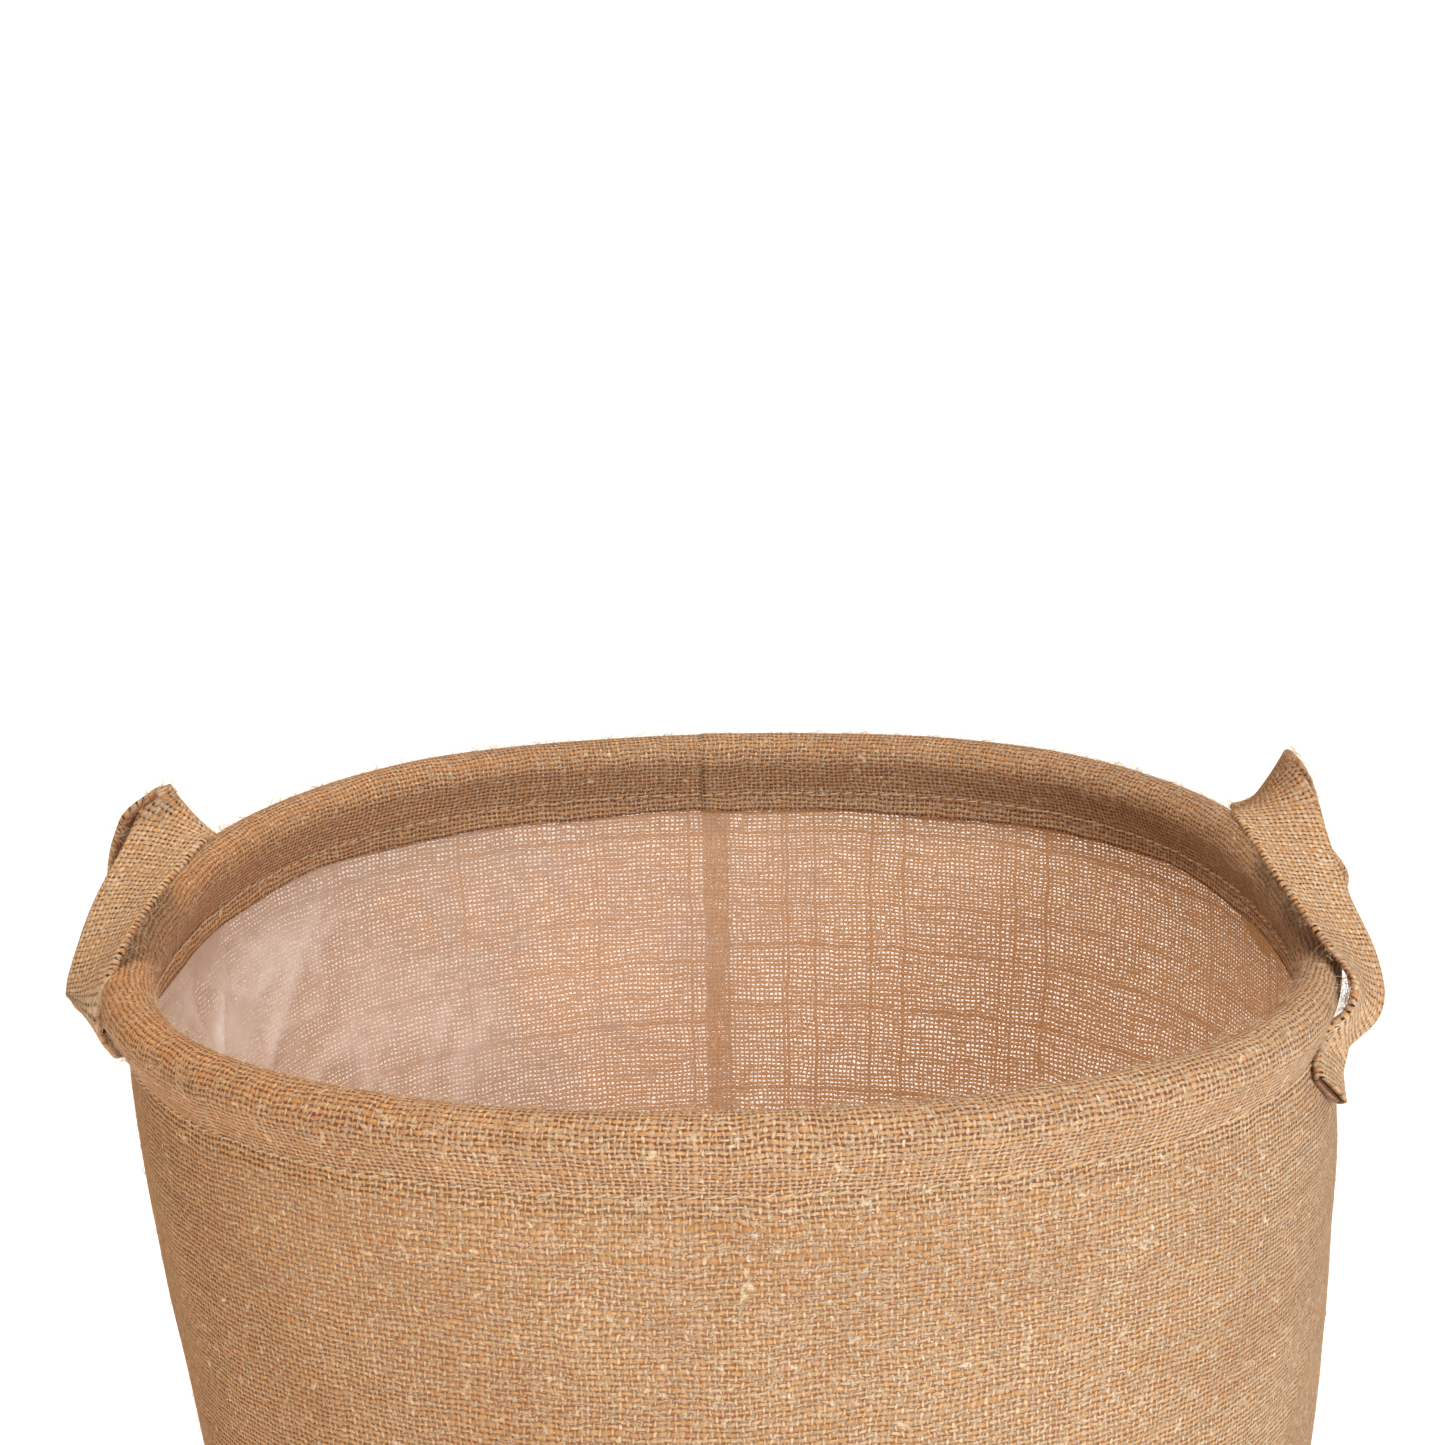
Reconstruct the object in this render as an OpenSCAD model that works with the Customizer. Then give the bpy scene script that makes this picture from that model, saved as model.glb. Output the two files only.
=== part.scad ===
// Round jute grow bag: a tapered hessian wall with a rolled rim over a plastic tube,
// a film lining, a sewn-in base and two folded strap handles that flop outwards.
// Millimetres, +Z up, origin on the floor under the middle of the base.
// +X runs through the right handle and +Y points to the back, where the wall is joined.

/* [Bag] */
// Height of the bag from the floor to the top of the rolled rim
bag_h = 380; // [300:5:460]
// Outer diameter of the rolled rim
rim_d = 380; // [340:5:440]
// Outer diameter of the base
base_d = 290; // [240:5:310]
// How much the wall bellies out between base and rim (1 is a straight cone)
belly = 1.25; // [1:0.05:1.6]

/* [Rim] */
// Outer diameter of the rolled rim's section
roll_d = 15; // [13:0.5:18]
// Outer diameter of the plastic tube inside the rim
tube_d = 10; // [8:0.5:10]
// Wall thickness of the plastic tube
tube_t = 1.5; // [1:0.1:2]
// Length of the plug that joins the tube's two ends
joiner_l = 44; // [30:1:60]
// Depth of the hem from the middle of the roll down to its row of stitches
hem_depth = 15.5; // [14:0.5:18]

/* [Cloth] */
// Thickness of the jute cloth
cloth_t = 1.2; // [1:0.1:1.4]
// Thickness of the film lining
film_t = 0.4; // [0.3:0.1:0.5]
// Thickness of the sewing thread
thread_d = 0.9; // [0.6:0.1:1.2]
// Height of the base cloth's edge, turned up inside the wall
turn_up = 14; // [10:1:20]

/* [Handles] */
// Width of the folded strap
strap_w = 26; // [22:1:30]
// Thickness of the folded strap
strap_t = 2.4; // [2:0.2:3]
// Angle round the rim from the middle of a handle to each of its legs
leg_angle = 19.6; // [17:0.2:22]
// Height of the strap's middle line at its crest, above the middle of the roll
crest_h = 39; // [36:1:48]
// Lean of a sewn end towards the middle of the handle
end_lean = 38; // [25:1:40]
// Length of each sewn end
end_l = 19; // [16:1:22]

/* [Hidden] */

$fn = 96;
gap = 0.1;                              // air between layers that lie on each other
film_gap = 0.3;                         // air between the wall's cloth and its film
roll_r = roll_d / 2;
roll_z = bag_h - roll_r;                // height of the middle of the roll
roll_ring_r = rim_d / 2 - roll_r;       // radius of the circle through the roll's middle
hem_z = roll_z - hem_depth;
neck_r = roll_ring_r + 1;               // outer radius of the wall at the stitches of the hem
neck_top = roll_z - roll_r + cloth_t / 2;
facing_r = neck_r - cloth_t - 2 * film_gap - film_t; // outer radius of the facing inside the hem
facing_bottom = hem_z - 5;
profile_steps = 8;

// The wall's outer face: height and radius at each step of its belly
wall_table = [for (i = [0 : profile_steps]) [
    hem_z * i / profile_steps,
    base_d / 2 + (neck_r - base_d / 2) * (1 - pow(1 - i / profile_steps, belly))
]];

// Outer radius of the wall at height z
function wall_r(z) = lookup(z, wall_table);

// Points of the wall's outer face, moved inwards by inset, from height low to height high
function wall_line(inset, low, high) = concat(
    [[wall_r(low) - inset, low]],
    [for (row = wall_table) if (row[0] > low + gap && row[0] < high - gap) [row[1] - inset, row[0]]],
    [[wall_r(high) - inset, high]]);

function reversed(list) = [for (i = [len(list) - 1 : -1 : 0]) list[i]];

module skin_section(inset, t, low, high) {
    polygon(concat(wall_line(inset, low, high), reversed(wall_line(inset + t, low, high))));
}

// A round skin of thickness t whose outer face lies inset inside the wall's outer face
module wall_skin(inset, t, low, high) {
    rotate_extrude()
        skin_section(inset, t, low, high);
}

module ring(r, z, section_r) {
    translate([0, 0, z])
        rotate_extrude()
            translate([r, 0])
                circle(r = section_r, $fn = 32);
}

// ---- Bag ----

// The roll's section: a cloth casing with the wall below it outside and the facing inside
module hem_section() {
    difference() {
        union() {
            translate([roll_ring_r, roll_z])
                circle(r = roll_r, $fn = 64);
            translate([neck_r - cloth_t, hem_z])
                square([cloth_t, neck_top - hem_z]);
            translate([facing_r - cloth_t, facing_bottom])
                square([cloth_t, neck_top - facing_bottom]);
        }
        translate([roll_ring_r, roll_z])
            circle(r = roll_r - cloth_t, $fn = 64);
    }
}

module wall() {
    color("peru") {
        rotate_extrude()
            union() {
                hem_section();
                skin_section(0, cloth_t, gap, hem_z);
            }
    }
}

// The film lies inside the cloth and runs up between the wall and the facing
module wall_film() {
    film_low = cloth_t + turn_up + 2 * gap;
    color("mistyrose") {
        wall_skin(cloth_t + film_gap, film_t, film_low, hem_z);
        translate([0, 0, hem_z])
            difference() {
                cylinder(r = neck_r - cloth_t - film_gap, h = hem_depth - roll_r - cloth_t);
                translate([0, 0, -1])
                    cylinder(r = neck_r - cloth_t - film_gap - film_t, h = hem_depth);
            }
    }
}

// A disc with its edge turned up inside the wall
module base_cup(inset, t, low, high) {
    wall_skin(inset, t, low, high);
    translate([0, 0, low])
        cylinder(r = wall_r(low) - inset - t / 2, h = t);
}

module base() {
    color("peru")
        base_cup(cloth_t + gap, cloth_t, 0, turn_up);
}

module base_film() {
    color("mistyrose")
        base_cup(2 * cloth_t + 2 * gap, film_t, cloth_t + gap, turn_up);
}

module rim_tube() {
    plug_angle = joiner_l / roll_ring_r * 180 / PI;
    color("dimgray")
        translate([0, 0, roll_z])
            rotate([0, 0, 90 + plug_angle / 40])
                rotate_extrude(angle = 360 - plug_angle / 20)
                    translate([roll_ring_r, 0])
                        difference() {
                            circle(d = tube_d, $fn = 48);
                            circle(d = tube_d - 2 * tube_t, $fn = 48);
                        }
}

// A plug pushed into both ends of the tube, at the back of the rim
module tube_joiner() {
    plug_angle = joiner_l / roll_ring_r * 180 / PI;
    color("white")
        translate([0, 0, roll_z])
            rotate([0, 0, 90 - plug_angle / 2])
                rotate_extrude(angle = plug_angle)
                    translate([roll_ring_r, 0])
                        circle(d = tube_d - 2 * tube_t - 2 * gap, $fn = 48);
}

// ---- Seams ----

module hem_stitching() {
    color("wheat") {
        ring(neck_r + thread_d / 2 + gap / 2, hem_z, thread_d / 2);
        ring(facing_r - cloth_t - thread_d / 2 - gap / 2, hem_z, thread_d / 2);
    }
}

module base_stitching() {
    stitch_z = turn_up / 2;
    color("wheat")
        ring(wall_r(stitch_z) + thread_d / 2 + gap, stitch_z, thread_d / 2);
}

// A thread down the back of the wall, following its profile
module seam_stitching() {
    thread_angle = thread_d / neck_r * 180 / PI;
    color("wheat")
        rotate([0, 0, 90 - thread_angle / 2])
            rotate_extrude(angle = thread_angle)
                skin_section(-gap - thread_d, thread_d, turn_up, hem_z - 3);
}

// ---- Handles ----

hinge_r = roll_ring_r - 2.5;            // distance of the handle's hinge line from the middle of the bag
hinge_drop = 17;                        // depth of the hinge line below the middle of the roll
hinge_z = roll_z - hinge_drop;
end_lift = thread_d + 2 * gap;          // height of a sewn end's inner face above the wall
steps_per_span = 6;

// A point given by its distance from the axis, its angle from the handle's middle and its
// height above the middle of the roll
function polar(r, a, h) = [r * cos(a), r * sin(a), roll_z + h];

// Middle line of half a handle: foot beside the roll, bow, shoulder, crest
half_line = [
    polar(roll_ring_r + 8.5, -leg_angle + 0.6, -8),
    polar(roll_ring_r + 13, -leg_angle + 5, 0),
    polar(roll_ring_r + 2, -leg_angle + 11, 20),
    [roll_ring_r - 20, 0, roll_z + crest_h]
];

// Direction across the strap at each of those points
half_across = [
    [0.2, 0.75, -0.62],
    [0.45, 0.87, -0.25],
    [0.75, 0.62, 0.25],
    [0.63, 0, 0.77]
];

function mirrored(p) = [p[0], -p[1], p[2]];

// Both halves: the second repeats the first the other side of the crest
function both(half) = concat(half, [for (i = [len(half) - 2 : -1 : 0]) mirrored(half[i])]);

// Across directions of the second half keep the edge that is outside at the crest
strap_line = both(half_line);
strap_across = both(half_across);

function unit(v) = v / norm(v);

// Catmull-Rom blend of four neighbours at t
function blend(a, b, c, d, t) =
    0.5 * (2 * b + (c - a) * t + (2 * a - 5 * b + 4 * c - d) * t * t + (3 * b - a - 3 * c + d) * t * t * t);

function smooth(list) = let (n = len(list)) concat(
    [for (i = [0 : n - 2], s = [0 : steps_per_span - 1])
        let (
            a = i == 0 ? 2 * list[0] - list[1] : list[i - 1],
            d = i == n - 2 ? 2 * list[n - 1] - list[n - 2] : list[i + 2]
        ) blend(a, list[i], list[i + 1], d, s / steps_per_span)],
    [list[n - 1]]);

// The four corners of the strap's section at ring i
function strap_corners(line, across, i) =
    let (
        n = len(line),
        along = unit(line[min(i + 1, n - 1)] - line[max(i - 1, 0)]),
        w = unit(across[i] - (across[i] * along) * along),
        up = cross(along, w)
    ) [for (k = [[-1, -1], [1, -1], [1, 1], [-1, 1]])
        line[i] + k[0] * strap_w / 2 * w + k[1] * strap_t / 2 * up];

// The free loop of the right handle, one closed band swept along its middle line
module strap_loop() {
    line = smooth(strap_line);
    across = smooth(strap_across);
    n = len(line);
    points = [for (i = [0 : n - 1]) each strap_corners(line, across, i)];
    sides = [for (i = [0 : n - 2], k = [0 : 3])
        let (a = 4 * i + k, b = 4 * i + (k + 1) % 4) each [[a, a + 4, b], [b, a + 4, b + 4]]];
    ends = [[0, 1, 2], [0, 2, 3], [4 * n - 2, 4 * n - 3, 4 * n - 4], [4 * n - 1, 4 * n - 2, 4 * n - 4]];
    polyhedron(points = points, faces = concat(sides, ends), convexity = 6);
}

// Puts a flat child on the outside of the wall under a leg, its top edge leaning to the middle
// side is -1 for a front leg and 1 for a back leg
module on_wall(side, lift) {
    end_z = hinge_z - 10;
    slope = atan2(wall_r(end_z + 12) - wall_r(end_z - 12), 24);
    rotate([0, 0, side * (leg_angle + 3)])
        translate([wall_r(end_z) + lift, 0, end_z])
            rotate([0, slope, 0])
                rotate([side * end_lean, 0, 0])
                    children();
}

// A sewn end of a strap, lying over the stitches of the hem
module strap_end(side) {
    on_wall(side, end_lift + strap_t / 2)
        cube([strap_t, strap_w, end_l], center = true);
}

// The thread of one sewn end: a rectangle on its outer face
module end_thread(side) {
    half_w = strap_w / 2 - 3;
    half_l = end_l / 2 - 3;
    on_wall(side, end_lift + strap_t + gap + thread_d / 2)
        union() {
            for (k = [-1, 1]) {
                translate([0, k * half_w, 0])
                    cylinder(d = thread_d, h = 2 * half_l, center = true, $fn = 24);
                translate([0, 0, k * half_l])
                    rotate([90, 0, 0])
                        cylinder(d = thread_d, h = 2 * half_w + thread_d, center = true, $fn = 24);
            }
        }
}

module other_side() {
    rotate([0, 0, 180])
        children();
}

module handle_right() { color("burlywood") strap_loop(); }
module handle_left() { color("burlywood") other_side() strap_loop(); }
module right_front_end() { color("tan") strap_end(-1); }
module right_back_end() { color("tan") strap_end(1); }
module left_front_end() { color("tan") other_side() strap_end(1); }
module left_back_end() { color("tan") other_side() strap_end(-1); }

module right_end_stitching() {
    color("wheat")
        for (side = [-1, 1])
            end_thread(side);
}

module left_end_stitching() {
    color("wheat")
        other_side()
            for (side = [-1, 1])
                end_thread(side);
}

wall();
wall_film();
base();
base_film();
rim_tube();
tube_joiner();
hem_stitching();
seam_stitching();
base_stitching();
handle_left();
handle_right();
left_front_end();
left_back_end();
right_front_end();
right_back_end();
left_end_stitching();
right_end_stitching();
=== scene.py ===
"""A round jute grow bag.

It has a tapered woven wall with a rolled rim over a tube, a clear film lining and two folded strap handles.
Metres, +Z up, origin on the floor under the middle of the base. +X runs through the right handle and +Y to
the back, where the wall is joined. Angles go round the Z axis from +X. Depth is measured down from the middle
of the rolled rim.
"""

import math

import bpy
import numpy as np
from mathutils import Matrix, Vector
from mathutils import noise as perlin


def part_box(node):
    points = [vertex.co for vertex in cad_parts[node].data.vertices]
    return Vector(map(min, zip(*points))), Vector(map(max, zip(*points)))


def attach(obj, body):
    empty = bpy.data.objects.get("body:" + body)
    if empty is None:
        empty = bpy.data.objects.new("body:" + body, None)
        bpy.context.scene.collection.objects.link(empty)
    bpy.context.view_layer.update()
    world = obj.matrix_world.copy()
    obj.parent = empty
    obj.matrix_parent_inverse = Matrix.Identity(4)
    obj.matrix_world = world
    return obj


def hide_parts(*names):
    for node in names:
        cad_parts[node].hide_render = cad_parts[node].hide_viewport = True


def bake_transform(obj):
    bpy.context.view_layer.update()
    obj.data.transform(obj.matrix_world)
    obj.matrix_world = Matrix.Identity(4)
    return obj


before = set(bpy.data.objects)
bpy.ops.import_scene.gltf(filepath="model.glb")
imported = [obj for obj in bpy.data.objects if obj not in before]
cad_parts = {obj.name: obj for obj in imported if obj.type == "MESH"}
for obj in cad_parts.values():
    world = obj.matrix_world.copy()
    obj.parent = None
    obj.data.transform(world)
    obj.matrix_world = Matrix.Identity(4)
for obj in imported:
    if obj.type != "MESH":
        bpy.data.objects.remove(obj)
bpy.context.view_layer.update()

MM = 0.001
rng = np.random.default_rng(11)

# ---- Camera, floor and light ----

CAMERA_AT = Vector((0.0, -0.8463, 0.6575))
CAMERA_PITCH = math.radians(-14.83)
CAMERA_YAW = math.radians(0.06)
CAMERA_ROLL = math.radians(-1.23)
SENSOR_W = 36.0
LENS = 73.1

ROOM_COLOUR = (1.0, 0.90, 0.78, 1)
ROOM_STRENGTH = 0.36
FLOOR_HALF = 80.0
FLOOR_COLOUR = (0.5, 0.5, 0.5, 1)
FLOOR_GLOW = (1.0, 0.94, 0.88, 1)
FLOOR_GLOW_STRENGTH = 0.98


def make_camera():
    data = bpy.data.cameras.new("camera")
    data.sensor_width = SENSOR_W
    data.lens = LENS
    camera = bpy.data.objects.new("camera", data)
    bpy.context.scene.collection.objects.link(camera)
    ahead = Vector(
        (
            -math.sin(CAMERA_YAW) * math.cos(CAMERA_PITCH),
            math.cos(CAMERA_YAW) * math.cos(CAMERA_PITCH),
            math.sin(CAMERA_PITCH),
        )
    )
    level = ahead.cross(Vector((0, 0, 1))).normalized()
    upright = level.cross(ahead)
    right = level * math.cos(CAMERA_ROLL) + upright * math.sin(CAMERA_ROLL)
    up = right.cross(ahead)
    turn = Matrix((right, up, -ahead)).transposed().to_4x4()
    camera.matrix_world = Matrix.Translation(CAMERA_AT) @ turn
    bpy.context.scene.camera = camera


def area_light(name, at, target, size, power, colour=(1, 1, 1)):
    data = bpy.data.lights.new(name, "AREA")
    data.shape = "DISK"
    data.size = size
    data.energy = power
    data.color = colour
    lamp = bpy.data.objects.new(name, data)
    bpy.context.scene.collection.objects.link(lamp)
    lamp.location = at
    lamp.rotation_euler = (Vector(target) - Vector(at)).to_track_quat("-Z", "Y").to_euler()


def make_stage():
    world = bpy.data.worlds.new("studio")
    bpy.context.scene.world = world
    world.use_nodes = True
    background = world.node_tree.nodes["Background"]
    background.inputs["Color"].default_value = ROOM_COLOUR
    background.inputs["Strength"].default_value = ROOM_STRENGTH
    bpy.context.scene.view_settings.view_transform = "Standard"

    mesh = bpy.data.meshes.new("floor")
    s = FLOOR_HALF
    mesh.from_pydata([(-s, -s, 0), (s, -s, 0), (s, s, 0), (-s, s, 0)], [], [(0, 1, 2, 3)])
    floor = bpy.data.objects.new("floor", mesh)
    bpy.context.scene.collection.objects.link(floor)
    paper = bpy.data.materials.new("floor_paper")
    paper.use_nodes = True
    shader = paper.node_tree.nodes["Principled BSDF"]
    shader.inputs["Base Color"].default_value = FLOOR_COLOUR
    shader.inputs["Emission Color"].default_value = FLOOR_GLOW
    shader.inputs["Emission Strength"].default_value = FLOOR_GLOW_STRENGTH
    shader.inputs["Roughness"].default_value = 0.9
    shader.inputs["Specular IOR Level"].default_value = 0.1
    mesh.materials.append(paper)

    area_light("key", (1.1, -1.7, 1.25), (0, 0, 0.25), 0.9, 33.5, (0.95, 0.98, 1.0))
    area_light("above", (-0.14, -0.06, 1.25), (0.08, 0.05, 0.28), 0.35, 4.8, (1.0, 0.80, 0.62))


make_camera()
make_stage()

# ---- Shape of the bag ----

ROLL_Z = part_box("rim_tube")[0].z + 5 * MM
RING_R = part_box("rim_tube")[1].x - 5 * MM
ROLL_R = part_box("wall")[1].z - ROLL_Z
BASE_R = 145 * MM
BELLY = 1.25
HEM_DEPTH = 14.0 * MM
NECK_OUT = 1.0 * MM
CLOTH_T = 1.1 * MM
WEAVE_T = 0.15 * MM
THREAD_D = 0.7 * MM
FILM_T = 0.3 * MM
FACING_END = 21.0 * MM
FACING_IN = 1.9 * MM
STITCH_PITCH = 4.6 * MM
LAP = 9.5 * MM
LAP_LIFT = 0.9 * MM
FILM_LOW = 15 * MM
FILM_TOP_DEPTH = 12.5 * MM
FILM_GAP = 0.35 * MM
FILM_COLUMNS = 420
FILM_ROWS = 112

RIM_SQUARE = 4.5 * MM
RIM_SAG = 2.7 * MM
RIM_WAVE = 0.9 * MM
RIGHT_DENT = 4.0 * MM
RIGHT, BACK, LEFT = 0.0, math.pi / 2, math.pi
CREASE_AT = math.radians(-88.8)


def near(angle, centre, spread_deg):
    """1 at that angle round the bag, falling off smoothly to either side."""
    off = (np.asarray(angle) - centre + math.pi) % (2 * math.pi) - math.pi
    return np.exp(-((off / math.radians(spread_deg)) ** 2))


def step(x, low, high):
    t = np.clip((np.asarray(x) - low) / (high - low), 0, 1)
    return t * t * (3 - 2 * t)


def rim_r(angle):
    return RING_R - RIM_SQUARE * np.cos(4 * angle) - RIGHT_DENT * near(angle, RIGHT - 0.10, 32)


def rim_z(angle):
    return ROLL_Z - RIM_SAG * np.cos(2 * angle) - RIM_WAVE * np.cos(4 * angle)


def lumps(angle, z, scale, seed):
    """Smooth noise round the bag, between about -1 and 1. scale is the size of a lump in metres."""
    angle, z = np.broadcast_arrays(angle, z)
    x, y = 0.18 * np.cos(angle) / scale + seed, 0.18 * np.sin(angle) / scale
    out = [perlin.noise(Vector(p)) for p in zip(x.ravel(), y.ravel(), z.ravel() / scale)]
    return np.array(out).reshape(angle.shape)


def wall_r(angle, z):
    """Radius of the wall's outer face below the stitches of the hem."""
    hem_z = rim_z(angle) - HEM_DEPTH
    t = np.clip(z / hem_z, 0, 1)
    drop = np.maximum(hem_z - z, 0)
    r = BASE_R + (RING_R + NECK_OUT - BASE_R) * (1 - (1 - t) ** BELLY)
    r = r + (rim_r(angle) - RING_R) * t**1.3
    puff = 3.2 * MM + 5.3 * MM * near(angle, RIGHT, 38) - 3.2 * MM * near(angle, LEFT, 40)
    deep = 2.0 * MM * near(angle, RIGHT, 38) - 4.4 * MM * near(angle, LEFT, 40)
    settle = step(z, 0.0, 0.13)
    r = r + settle * (puff * (1 - np.exp(-drop / (25 * MM))) + deep * step(drop, 0, 140 * MM))
    across = (np.asarray(angle) - CREASE_AT) * RING_R
    ridge = 1.3 * MM * np.exp(-np.sqrt(across**2 + (1.5 * MM) ** 2) / (11 * MM))
    r = r + ridge * step(drop, 0, 20 * MM) * settle
    r = r + settle * step(drop, 0, 30 * MM) * (
        1.5 * MM * lumps(angle, z, 75 * MM, 3.7) + 0.5 * MM * lumps(angle, z, 28 * MM, 9.1)
    )
    return r


# ---- Meshes ----


def grid_object(name, points, uv, closed_u=False, closed_v=False):
    """A mesh over a grid of points[u, v].

    uv[u, v] has one more row or column than points where that way is closed.
    """
    nu, nv = points.shape[:2]
    cols, rows = nu if closed_u else nu - 1, nv if closed_v else nv - 1
    i, j = np.meshgrid(np.arange(cols), np.arange(rows), indexing="ij")
    i2, j2 = (i + 1) % nu, (j + 1) % nv
    faces = np.stack([i * nv + j, i2 * nv + j, i2 * nv + j2, i * nv + j2], -1).reshape(-1, 4)
    mesh = bpy.data.meshes.new(name)
    mesh.from_pydata(points.reshape(-1, 3).tolist(), [], faces.tolist())
    layer = mesh.uv_layers.new(name="weave")
    corner = np.stack([uv[i, j], uv[i + 1, j], uv[i + 1, j + 1], uv[i, j + 1]], -2)
    layer.data.foreach_set("uv", corner.reshape(-1).astype(np.float32))
    mesh.polygons.foreach_set("use_smooth", [True] * len(mesh.polygons))
    ob = bpy.data.objects.new(name, mesh)
    bpy.context.scene.collection.objects.link(ob)
    return ob


def thicken(ob, thickness):
    """Gives a single face of cloth its thickness, away from the side that the face looks to."""
    solid = ob.modifiers.new("thickness", "SOLIDIFY")
    solid.thickness = thickness
    solid.offset = -1.0
    solid.use_even_offset = False
    solid.use_rim = True
    return ob


def point_at(r, angle, z):
    return np.stack([r * np.cos(angle), r * np.sin(angle), z + 0 * angle], -1)


def paint(ob, name, values):
    data = ob.data.attributes.new(name, "FLOAT", "POINT")
    data.data.foreach_set("value", np.asarray(values, np.float32).ravel())


def tubes(name, paths, radius, sides=6):
    """Round threads as one mesh, one along each of paths[thread, point].

    radius is one number or radius[thread, point].
    """
    paths = np.asarray(paths, float)
    n, m = paths.shape[:2]
    along = np.gradient(paths, axis=1)
    along /= np.linalg.norm(along, axis=-1, keepdims=True) + 1e-12
    side = np.cross(along, (0.31, 0.17, 0.935))
    side /= np.linalg.norm(side, axis=-1, keepdims=True) + 1e-12
    other = np.cross(along, side)
    turn = np.linspace(0, 2 * math.pi, sides, endpoint=False)[:, None]
    ring = np.cos(turn) * side[:, :, None] + np.sin(turn) * other[:, :, None]
    radius = np.broadcast_to(np.asarray(radius, float), (n, m))
    points = (paths[:, :, None] + radius[:, :, None, None] * ring).reshape(-1, 3)
    t, i, k = np.meshgrid(np.arange(n), np.arange(m - 1), np.arange(sides), indexing="ij")
    base, k2 = (t * m + i) * sides, (k + 1) % sides
    quads = np.stack([base + k, base + k2, base + sides + k2, base + sides + k], -1).reshape(-1, 4)
    first = np.arange(n)[:, None] * m * sides + np.arange(sides)[None, ::-1]
    last = (np.arange(n)[:, None] * m + m - 1) * sides + np.arange(sides)
    mesh = bpy.data.meshes.new(name)
    mesh.from_pydata(points.tolist(), [], quads.tolist() + first.tolist() + last.tolist())
    mesh.polygons.foreach_set("use_smooth", [True] * len(mesh.polygons))
    ob = bpy.data.objects.new(name, mesh)
    bpy.context.scene.collection.objects.link(ob)
    return ob


def stitches(line, normal, pitch, thread, slant=0.0):
    """Paths of the stitches along a line over a cloth whose outward direction is normal.

    Each stitch dips into the cloth at its ends.
    """
    along = np.concatenate([[0], np.cumsum(np.linalg.norm(np.diff(line, axis=0), axis=1))])
    count = int(along[-1] / pitch)
    t = np.linspace(0, 1, 7)
    at = (np.arange(count)[:, None] + 0.06 + 0.88 * t[None, :]) * along[-1] / count
    pick = lambda table: np.stack([np.interp(at, along, table[:, k]) for k in range(3)], -1)
    point, out = pick(line), pick(normal)
    ahead = pick(np.gradient(line, axis=0))
    ahead /= np.linalg.norm(ahead, axis=-1, keepdims=True)
    across = np.cross(out, ahead)
    lift = thread * (0.85 * np.sin(math.pi * t) ** 0.6 - 0.45)
    wander = rng.normal(0, 0.18 * MM, (count, 1)) + slant * (t[None, :] - 0.5)
    return point + out * lift[None, :, None] + across * wander[..., None]


WALL_COLUMNS = 400
WALL_ROWS = 74
THREADS_ROUND = 662
WARP_PITCH = 2 * math.pi * 0.190 / THREADS_ROUND
WEFT_PITCH = 1.62 * MM


def roll_section(angle):
    """Outer face of the rim's casing at each angle: offsets outwards and upwards from the roll's middle."""
    tangent = math.acos(ROLL_R / HEM_DEPTH)
    turn = np.linspace(-math.pi / 2 + tangent, math.pi * 1.5 - tangent, 24)
    spread = 0.02 * turn[None, :] + 0 * angle[:, None]
    swell = 1 + 0.05 * lumps(angle[:, None] + 0 * turn, spread, 30 * MM, 5.0)
    pinch = 1 - 0.26 * near(angle, math.radians(-20), 20)[:, None]
    out = ROLL_R * swell * np.cos(turn)
    out = np.where(out > 0, out * pinch, out)
    up = ROLL_R * swell * np.sin(turn)
    start = np.stack([NECK_OUT + 0 * angle, -HEM_DEPTH + 0 * angle], -1)[:, None, :]
    stop = np.stack([-FACING_IN + 0 * angle, -HEM_DEPTH + 0 * angle], -1)[:, None, :]
    arc = np.stack([out, up], -1)
    k = np.linspace(0, 1, 7)[1:-1, None]
    first = start * (1 - k) + arc[:, :1] * k
    last = arc[:, -1:] * (1 - k) + stop * k
    end = FACING_END + 0.6 * MM * np.sin(7 * angle) + 0.5 * MM * np.sin(17 * angle + 1)
    hang = np.linspace(0, 1, 5)[1:, None]
    low = np.stack([-2.1 * MM + 0 * angle, -end], -1)[:, None, :]
    return np.concatenate([start, first, arc, last, stop, stop * (1 - hang) + low * hang], 1)


def facing_pulls(angle):
    """Slanting pulls that the stitches leave in the casing's inner side."""
    most = 0.4 + 0.6 * near(angle, math.radians(70), 45)
    return 0.9 * MM * np.sin(23 * angle + 3 * np.sin(3 * angle)) * most


def wall_angles():
    """Round the bag once from the back, and on over the first edge by the lap."""
    return BACK + np.linspace(0, 2 * math.pi + LAP / RING_R, WALL_COLUMNS)


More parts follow.
